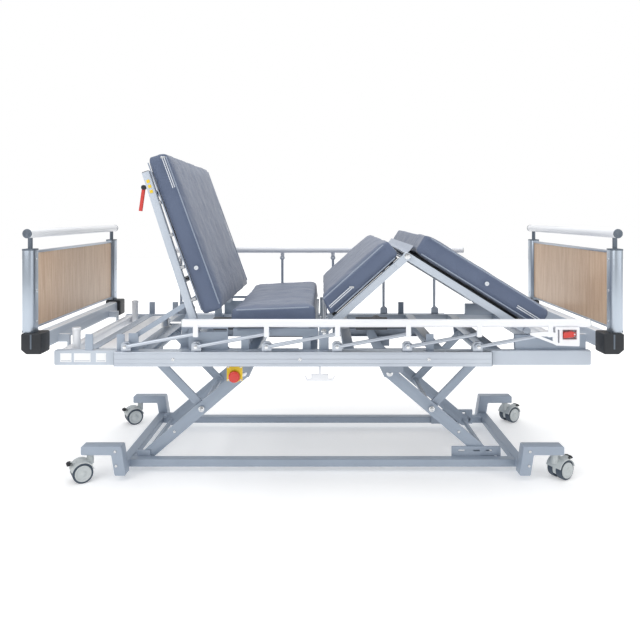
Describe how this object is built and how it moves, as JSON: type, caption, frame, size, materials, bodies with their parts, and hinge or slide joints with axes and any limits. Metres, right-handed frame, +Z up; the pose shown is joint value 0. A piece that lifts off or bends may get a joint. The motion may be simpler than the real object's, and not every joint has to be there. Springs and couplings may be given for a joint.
{
  "type": "adjustable hospital bed",
  "caption": "Electric nursing bed: scissor-lift base on braked casters, tilting back and knee sections, folding side rails, laminate end boards.",
  "frame": {"origin": "on the floor under the middle of the bed", "axes": "+X to the foot end, +Y to the far side (right of a lying person's head end is not implied), +Z up"},
  "size_m": [2.213, 1, 1.2713],
  "materials": {
    "pad_fabric": "coated nylon, slate grey",
    "beech_laminate": "satin beech laminate",
    "black_plastic": "moulded, fine texture",
    "grey_wheel": "soft polyurethane tread",
    "grey_plastic": "moulded nylon",
    "red_plastic": "glossy moulded",
    "zinc_steel": "zinc plated and painted",
    "chromed_steel": "polished rod",
    "anodised_aluminium": "satin anodised",
    "white_enamel": "gloss white powder coat",
    "grey_enamel": "satin blue-grey powder coat"
  },
  "bodies": {
    "chassis": {"base_frame": "grey_enamel", "caster_brackets": "grey_enamel"},
    "lift_arm_head": {"lift_arm_head": "grey_enamel"},
    "lift_strut_head": {"lift_strut_head": "grey_enamel"},
    "upper_frame": {"frame_tubes": "grey_enamel", "frame_cross_members": "grey_enamel", "deck_brackets": "grey_enamel", "pole_sockets": "white_enamel", "side_fittings": "zinc_steel", "actuators": "black_plastic", "seat_pad": "pad_fabric", "board_frames": "anodised_aluminium", "board_panels": "beech_laminate", "bumpers": "black_plastic", "rail_bases": "anodised_aluminium"},
    "lift_strut_foot": {"lift_strut_foot": "grey_enamel"},
    "lift_arm_foot": {"lift_arm_foot": "grey_enamel"},
    "lift_head_rod": {"lift_head_rod": "chromed_steel"},
    "lift_foot_rod": {"lift_foot_rod": "chromed_steel"},
    "back_rod": {"back_rod": "chromed_steel"},
    "knee_rod": {"knee_rod": "chromed_steel"},
    "stop_button": {"stop_button": "red_plastic"},
    "cpr_lever": {"cpr_lever": "red_plastic"},
    "back_lift_lever": {"back_lift_lever": "grey_enamel"},
    "backrest_links": {"backrest_links": "grey_enamel"},
    "backrest": {"backrest_frame": "grey_enamel", "back_pad": "pad_fabric"},
    "thigh": {"thigh_frame": "grey_enamel", "thigh_pad": "pad_fabric"},
    "calf": {"calf_frame": "grey_enamel", "calf_pad": "pad_fabric"},
    "caster_fork_head_near": {"caster_fork_head_near": "grey_plastic"},
    "caster_wheel_head_near": {"caster_wheel_head_near": "grey_wheel"},
    "caster_brake_pedal_head_near": {"caster_brake_pedal_head_near": "black_plastic"},
    "caster_fork_head_far": {"caster_fork_head_far": "grey_plastic"},
    "caster_wheel_head_far": {"caster_wheel_head_far": "grey_wheel"},
    "caster_brake_pedal_head_far": {"caster_brake_pedal_head_far": "black_plastic"},
    "caster_fork_foot_near": {"caster_fork_foot_near": "grey_plastic"},
    "caster_wheel_foot_near": {"caster_wheel_foot_near": "grey_wheel"},
    "caster_brake_pedal_foot_near": {"caster_brake_pedal_foot_near": "black_plastic"},
    "caster_fork_foot_far": {"caster_fork_foot_far": "grey_plastic"},
    "caster_wheel_foot_far": {"caster_wheel_foot_far": "grey_wheel"},
    "caster_brake_pedal_foot_far": {"caster_brake_pedal_foot_far": "black_plastic"},
    "rail_upright_near_1": {"rail_upright_near_1": "anodised_aluminium"},
    "rail_upright_near_2": {"rail_upright_near_2": "anodised_aluminium"},
    "rail_upright_near_3": {"rail_upright_near_3": "anodised_aluminium"},
    "rail_upright_near_4": {"rail_upright_near_4": "anodised_aluminium"},
    "rail_upright_near_5": {"rail_upright_near_5": "anodised_aluminium"},
    "rail_upright_near_6": {"rail_upright_near_6": "anodised_aluminium"},
    "rail_top_bar_near": {"rail_top_bar_near": "white_enamel"},
    "rail_release_near": {"rail_release_near": "red_plastic"},
    "rail_upright_far_1": {"rail_upright_far_1": "anodised_aluminium"},
    "rail_upright_far_2": {"rail_upright_far_2": "anodised_aluminium"},
    "rail_upright_far_3": {"rail_upright_far_3": "anodised_aluminium"},
    "rail_upright_far_4": {"rail_upright_far_4": "anodised_aluminium"},
    "rail_upright_far_5": {"rail_upright_far_5": "anodised_aluminium"},
    "rail_upright_far_6": {"rail_upright_far_6": "anodised_aluminium"},
    "rail_top_bar_far": {"rail_top_bar_far": "white_enamel"},
    "rail_release_far": {"rail_release_far": "red_plastic"}
  },
  "joints": [
    {"name": "caster_swivel_head_near", "type": "hinge", "parent": "chassis", "child": "caster_fork_head_near", "pos_m": [-0.902, -0.345, 0.09], "axis": [0, 0, 1], "continuous": true},
    {"name": "caster_roll_head_near", "type": "hinge", "parent": "caster_fork_head_near", "child": "caster_wheel_head_near", "pos_m": [-0.92971, -0.361, 0.038], "axis": [0.5, -0.866, 0], "continuous": true},
    {"name": "caster_brake_head_near", "type": "hinge", "parent": "caster_fork_head_near", "child": "caster_brake_pedal_head_near", "pos_m": [-0.96435, -0.381, 0.072], "axis": [0.5, -0.866, 0], "range_deg": [0, 12]},
    {"name": "caster_swivel_head_far", "type": "hinge", "parent": "chassis", "child": "caster_fork_head_far", "pos_m": [-0.902, 0.345, 0.09], "axis": [0, 0, 1], "continuous": true},
    {"name": "caster_roll_head_far", "type": "hinge", "parent": "caster_fork_head_far", "child": "caster_wheel_head_far", "pos_m": [-0.92971, 0.329, 0.038], "axis": [0.5, -0.866, 0], "continuous": true},
    {"name": "caster_brake_head_far", "type": "hinge", "parent": "caster_fork_head_far", "child": "caster_brake_pedal_head_far", "pos_m": [-0.96435, 0.309, 0.072], "axis": [0.5, -0.866, 0], "range_deg": [0, 12]},
    {"name": "caster_swivel_foot_near", "type": "hinge", "parent": "chassis", "child": "caster_fork_foot_near", "pos_m": [0.902, -0.345, 0.09], "axis": [0, 0, 1], "continuous": true},
    {"name": "caster_roll_foot_near", "type": "hinge", "parent": "caster_fork_foot_near", "child": "caster_wheel_foot_near", "pos_m": [0.92971, -0.329, 0.038], "axis": [-0.5, 0.866, 0], "continuous": true},
    {"name": "caster_brake_foot_near", "type": "hinge", "parent": "caster_fork_foot_near", "child": "caster_brake_pedal_foot_near", "pos_m": [0.96435, -0.309, 0.072], "axis": [-0.5, 0.866, 0], "range_deg": [0, 12]},
    {"name": "caster_swivel_foot_far", "type": "hinge", "parent": "chassis", "child": "caster_fork_foot_far", "pos_m": [0.902, 0.345, 0.09], "axis": [0, 0, 1], "continuous": true},
    {"name": "caster_roll_foot_far", "type": "hinge", "parent": "caster_fork_foot_far", "child": "caster_wheel_foot_far", "pos_m": [0.92971, 0.361, 0.038], "axis": [-0.5, 0.866, 0], "continuous": true},
    {"name": "caster_brake_foot_far", "type": "hinge", "parent": "caster_fork_foot_far", "child": "caster_brake_pedal_foot_far", "pos_m": [0.96435, 0.381, 0.072], "axis": [-0.5, 0.866, 0], "range_deg": [0, 12]},
    {"name": "lift_arm_head_pivot", "type": "hinge", "parent": "chassis", "child": "lift_arm_head", "pos_m": [-0.721, 0, 0.0446], "axis": [0, -1, 0], "range_deg": [-28, 26]},
    {"name": "lift_strut_head_pivot", "type": "hinge", "parent": "lift_arm_head", "child": "lift_strut_head", "pos_m": [-0.48873, 0, 0.24228], "axis": [0, -1, 0], "range_deg": [-52, 56]},
    {"name": "bed_lift", "type": "hinge", "parent": "lift_strut_head", "child": "upper_frame", "pos_m": [-0.7006, 0, 0.46168], "axis": [0, -1, 0], "range_deg": [-28, 26]},
    {"name": "lift_strut_foot_pivot", "type": "hinge", "parent": "upper_frame", "child": "lift_strut_foot", "pos_m": [0.6526, 0, 0.46168], "axis": [0, -1, 0], "range_deg": [-28, 26]},
    {"name": "lift_arm_foot_pivot", "type": "hinge", "parent": "lift_strut_foot", "child": "lift_arm_foot", "pos_m": [0.44073, 0, 0.24228], "axis": [0, -1, 0], "range_deg": [-52, 56]},
    {"name": "lift_head_rod_slide", "type": "slide", "parent": "upper_frame", "child": "lift_head_rod", "axis": [1, 0, 0], "range_m": [-0.0185, 0.02]},
    {"name": "lift_foot_rod_slide", "type": "slide", "parent": "upper_frame", "child": "lift_foot_rod", "axis": [1, 0, 0], "range_m": [-0.02, 0.0185]},
    {"name": "backrest_link_pivot", "type": "hinge", "parent": "upper_frame", "child": "backrest_links", "pos_m": [-0.5224, 0, 0.595], "axis": [0, -1, 0], "range_deg": [-72, 0]},
    {"name": "backrest_tilt", "type": "hinge", "parent": "backrest_links", "child": "backrest", "pos_m": [-0.49768, 0, 0.67109], "axis": [0, -1, 0], "range_deg": [0, 144]},
    {"name": "back_lift_lever_pivot", "type": "hinge", "parent": "upper_frame", "child": "back_lift_lever", "pos_m": [-0.706, 0, 0.569], "axis": [0, -1, 0], "range_deg": [-36, 0]},
    {"name": "back_rod_slide", "type": "slide", "parent": "upper_frame", "child": "back_rod", "axis": [1, 0, 0], "range_m": [-0.0195, 0]},
    {"name": "cpr_lever_pivot", "type": "hinge", "parent": "backrest", "child": "cpr_lever", "pos_m": [-0.6731, -0.42, 1.1291], "axis": [0, -1, 0], "range_deg": [-25, 0]},
    {"name": "thigh_tilt", "type": "hinge", "parent": "upper_frame", "child": "thigh", "pos_m": [0.005, 0, 0.59], "axis": [0, -1, 0], "range_deg": [-42, 0]},
    {"name": "knee_joint", "type": "hinge", "parent": "thigh", "child": "calf", "pos_m": [0.31712, 0, 0.87104], "axis": [0, -1, 0], "range_deg": [0, 74]},
    {"name": "knee_rod_slide", "type": "slide", "parent": "upper_frame", "child": "knee_rod", "axis": [1, 0, 0], "range_m": [-0.0365, 0]},
    {"name": "side_rail_near", "type": "hinge", "parent": "upper_frame", "child": "rail_upright_near_1", "pos_m": [-0.728, -0.472, 0.539], "axis": [0, -1, 0], "range_deg": [0, 79.7]},
    {"name": "rail_upright_near_2_pivot", "type": "hinge", "parent": "upper_frame", "child": "rail_upright_near_2", "pos_m": [-0.4675, -0.472, 0.539], "axis": [0, -1, 0], "range_deg": [0, 79.7]},
    {"name": "rail_upright_near_3_pivot", "type": "hinge", "parent": "upper_frame", "child": "rail_upright_near_3", "pos_m": [-0.207, -0.472, 0.539], "axis": [0, -1, 0], "range_deg": [0, 79.7]},
    {"name": "rail_upright_near_4_pivot", "type": "hinge", "parent": "upper_frame", "child": "rail_upright_near_4", "pos_m": [0.0535, -0.472, 0.539], "axis": [0, -1, 0], "range_deg": [0, 79.7]},
    {"name": "rail_upright_near_5_pivot", "type": "hinge", "parent": "upper_frame", "child": "rail_upright_near_5", "pos_m": [0.314, -0.472, 0.539], "axis": [0, -1, 0], "range_deg": [0, 79.7]},
    {"name": "rail_upright_near_6_pivot", "type": "hinge", "parent": "upper_frame", "child": "rail_upright_near_6", "pos_m": [0.5745, -0.472, 0.539], "axis": [0, -1, 0], "range_deg": [0, 79.7]},
    {"name": "rail_top_bar_near_pivot", "type": "hinge", "parent": "rail_upright_near_1", "child": "rail_top_bar_near", "pos_m": [-0.46629, -0.472, 0.58656], "axis": [0, -1, 0], "range_deg": [-79.7, 0]},
    {"name": "rail_release_near_pull", "type": "hinge", "parent": "rail_top_bar_near", "child": "rail_release_near", "pos_m": [0.92621, -0.472, 0.58656], "axis": [0, -1, 0], "range_deg": [-10, 0]},
    {"name": "side_rail_far", "type": "hinge", "parent": "upper_frame", "child": "rail_upright_far_1", "pos_m": [-0.728, 0.472, 0.539], "axis": [0, -1, 0], "range_deg": [-79.7, 0]},
    {"name": "rail_upright_far_2_pivot", "type": "hinge", "parent": "upper_frame", "child": "rail_upright_far_2", "pos_m": [-0.4675, 0.472, 0.539], "axis": [0, -1, 0], "range_deg": [-79.7, 0]},
    {"name": "rail_upright_far_3_pivot", "type": "hinge", "parent": "upper_frame", "child": "rail_upright_far_3", "pos_m": [-0.207, 0.472, 0.539], "axis": [0, -1, 0], "range_deg": [-79.7, 0]},
    {"name": "rail_upright_far_4_pivot", "type": "hinge", "parent": "upper_frame", "child": "rail_upright_far_4", "pos_m": [0.0535, 0.472, 0.539], "axis": [0, -1, 0], "range_deg": [-79.7, 0]},
    {"name": "rail_upright_far_5_pivot", "type": "hinge", "parent": "upper_frame", "child": "rail_upright_far_5", "pos_m": [0.314, 0.472, 0.539], "axis": [0, -1, 0], "range_deg": [-79.7, 0]},
    {"name": "rail_upright_far_6_pivot", "type": "hinge", "parent": "upper_frame", "child": "rail_upright_far_6", "pos_m": [0.5745, 0.472, 0.539], "axis": [0, -1, 0], "range_deg": [-79.7, 0]},
    {"name": "rail_top_bar_far_pivot", "type": "hinge", "parent": "rail_upright_far_1", "child": "rail_top_bar_far", "pos_m": [-0.728, 0.472, 0.805], "axis": [0, -1, 0], "range_deg": [0, 79.7]},
    {"name": "rail_release_far_pull", "type": "hinge", "parent": "rail_top_bar_far", "child": "rail_release_far", "pos_m": [0.6645, 0.472, 0.805], "axis": [0, -1, 0], "range_deg": [-10, 0]},
    {"name": "stop_button_press", "type": "slide", "parent": "upper_frame", "child": "stop_button", "axis": [0, 1, 0], "range_m": [0, 0.005]}
  ],
  "couplings": [
    {"joint": "lift_arm_head_pivot", "follows": "bed_lift", "ratio": 1},
    {"joint": "lift_strut_head_pivot", "follows": "bed_lift", "ratio": -2},
    {"joint": "lift_strut_foot_pivot", "follows": "bed_lift", "ratio": 1},
    {"joint": "lift_arm_foot_pivot", "follows": "bed_lift", "ratio": -2},
    {"joint": "lift_head_rod_slide", "follows": "bed_lift", "m_per_rad": -0.0391},
    {"joint": "lift_foot_rod_slide", "follows": "bed_lift", "m_per_rad": 0.0391},
    {"joint": "backrest_link_pivot", "follows": "backrest_tilt", "ratio": -0.5},
    {"joint": "back_lift_lever_pivot", "follows": "backrest_tilt", "ratio": -0.25},
    {"joint": "back_rod_slide", "follows": "backrest_tilt", "m_per_rad": -0.00772},
    {"joint": "knee_joint", "follows": "thigh_tilt", "ratio": -1.757},
    {"joint": "knee_rod_slide", "follows": "thigh_tilt", "m_per_rad": 0.0493},
    {"joint": "rail_upright_near_2_pivot", "follows": "side_rail_near", "ratio": 1},
    {"joint": "rail_upright_near_3_pivot", "follows": "side_rail_near", "ratio": 1},
    {"joint": "rail_upright_near_4_pivot", "follows": "side_rail_near", "ratio": 1},
    {"joint": "rail_upright_near_5_pivot", "follows": "side_rail_near", "ratio": 1},
    {"joint": "rail_upright_near_6_pivot", "follows": "side_rail_near", "ratio": 1},
    {"joint": "rail_top_bar_near_pivot", "follows": "side_rail_near", "ratio": -1},
    {"joint": "rail_upright_far_2_pivot", "follows": "side_rail_far", "ratio": 1},
    {"joint": "rail_upright_far_3_pivot", "follows": "side_rail_far", "ratio": 1},
    {"joint": "rail_upright_far_4_pivot", "follows": "side_rail_far", "ratio": 1},
    {"joint": "rail_upright_far_5_pivot", "follows": "side_rail_far", "ratio": 1},
    {"joint": "rail_upright_far_6_pivot", "follows": "side_rail_far", "ratio": 1},
    {"joint": "rail_top_bar_far_pivot", "follows": "side_rail_far", "ratio": -1}
  ]
}
